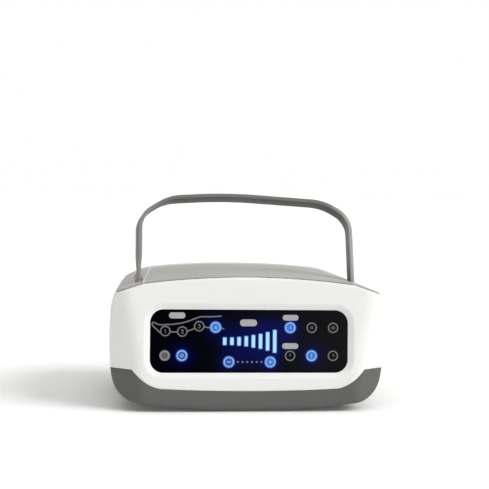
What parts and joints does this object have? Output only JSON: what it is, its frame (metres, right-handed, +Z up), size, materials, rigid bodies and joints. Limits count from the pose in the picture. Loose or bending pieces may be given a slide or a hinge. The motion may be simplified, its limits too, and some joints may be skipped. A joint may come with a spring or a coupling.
{
  "type": "compression therapy pump",
  "caption": "Table-top air pump with a leaning touch panel, a swinging bail handle, an air outlet on each side, and a mains inlet, switch and fan at the rear.",
  "frame": {"origin": "middle of the case's box on the surface that the feet stand on", "axes": "+X towards the right of the front panel, +Y from the front panel to the rear, +Z up"},
  "size_m": [0.2776, 0.19, 0.2133],
  "materials": {
    "alloy": "extruded",
    "black_plastic": "satin moulded plastic",
    "board_green": "coated circuit board",
    "board_parts": "sleeved parts",
    "clear_glass": "clear",
    "copper": "enamelled wire",
    "foam": "open foam",
    "handle_grey": "satin moulded plastic",
    "inner_plastic": "plain moulded",
    "lit_blue": "lit from behind",
    "print_grey": "printed line",
    "rear_dark": "fine textured plastic",
    "rubber": "moulded rubber",
    "shell_dark": "fine satin moulded plastic",
    "shell_grey": "fine satin moulded plastic",
    "shell_white": "fine satin moulded plastic",
    "silicone": "clear silicone tube",
    "steel": "bright",
    "window_black": "polished black panel"
  },
  "bodies": {
    "case": {"front_fascia": "shell_white", "top_cover": "shell_grey", "lower_housing": "shell_dark", "control_window": "window_black", "key_rings": "print_grey", "key_signs": "lit_blue", "level_bars": "lit_blue", "label_plates": "print_grey", "leg_sign": "print_grey", "pivot_pins": "steel", "handle_washers": "inner_plastic", "left_outlet": "shell_dark", "right_outlet": "shell_dark", "left_gasket": "rubber", "right_gasket": "rubber", "outlet_barbs": "steel", "air_tubes": "silicone", "rear_panel": "rear_dark", "rear_screws": "steel", "filter_foam": "foam", "fan_frame": "black_plastic", "mains_inlet": "black_plastic", "inlet_pins": "steel", "switch_frame": "black_plastic", "mains_wires": "silicone", "feet": "rubber", "case_screws": "steel", "pump_base": "steel", "pump_mounts": "rubber", "pump_cores": "steel", "pump_coils": "copper", "left_diaphragm": "rubber", "right_diaphragm": "rubber", "pump_heads": "inner_plastic", "pump_pipes": "silicone", "air_manifold": "inner_plastic", "valve_coils": "copper", "pressure_sensor": "black_plastic", "main_board": "board_green", "transformer": "copper", "capacitors": "board_parts", "heat_sink": "alloy", "display_board": "board_green", "panel_lights": "board_parts", "touch_springs": "steel", "ribbon_cable": "inner_plastic", "valve_spring_1": "steel", "valve_spring_2": "steel", "valve_spring_3": "steel", "valve_spring_4": "steel"},
    "handle": {"carry_handle": "handle_grey"},
    "rocker": {"power_rocker": "black_plastic"},
    "drawer": {"fuse_drawer": "black_plastic", "fuse": "clear_glass"},
    "fan": {"fan_rotor": "black_plastic"},
    "armature": {"pump_armature": "steel"},
    "plunger_1": {"valve_plunger_1": "steel"},
    "plunger_2": {"valve_plunger_2": "steel"},
    "plunger_3": {"valve_plunger_3": "steel"},
    "plunger_4": {"valve_plunger_4": "steel"}
  },
  "joints": [
    {"name": "handle_swing", "type": "hinge", "parent": "case", "child": "handle", "pos_m": [0, -0.046, 0.112], "axis": [1, 0, 0], "range_deg": [-50, 28]},
    {"name": "rocker_tilt", "type": "hinge", "parent": "case", "child": "rocker", "pos_m": [-0.014, 0.09, 0.046], "axis": [1, 0, 0], "range_deg": [0, 18]},
    {"name": "drawer_slide", "type": "slide", "parent": "case", "child": "drawer", "axis": [0, 1, 0], "range_m": [0, 0.012]},
    {"name": "fan_spin", "type": "hinge", "parent": "case", "child": "fan", "pos_m": [0.042, 0.078, 0.052], "axis": [0, 1, 0], "continuous": true},
    {"name": "armature_slide", "type": "slide", "parent": "case", "child": "armature", "axis": [1, 0, 0], "range_m": [-0.0015, 0.0015], "stiffness_N_per_m": 2000, "deforming": ["left_diaphragm", "right_diaphragm"]},
    {"name": "plunger_1_lift", "type": "slide", "parent": "case", "child": "plunger_1", "axis": [0, 0, 1], "range_m": [0, 0.0015], "stiffness_N_per_m": 150, "springref_m": -0.004, "deforming": ["valve_spring_1"]},
    {"name": "plunger_2_lift", "type": "slide", "parent": "case", "child": "plunger_2", "axis": [0, 0, 1], "range_m": [0, 0.0015], "stiffness_N_per_m": 150, "springref_m": -0.004, "deforming": ["valve_spring_2"]},
    {"name": "plunger_3_lift", "type": "slide", "parent": "case", "child": "plunger_3", "axis": [0, 0, 1], "range_m": [0, 0.0015], "stiffness_N_per_m": 150, "springref_m": -0.004, "deforming": ["valve_spring_3"]},
    {"name": "plunger_4_lift", "type": "slide", "parent": "case", "child": "plunger_4", "axis": [0, 0, 1], "range_m": [0, 0.0015], "stiffness_N_per_m": 150, "springref_m": -0.004, "deforming": ["valve_spring_4"]}
  ]
}
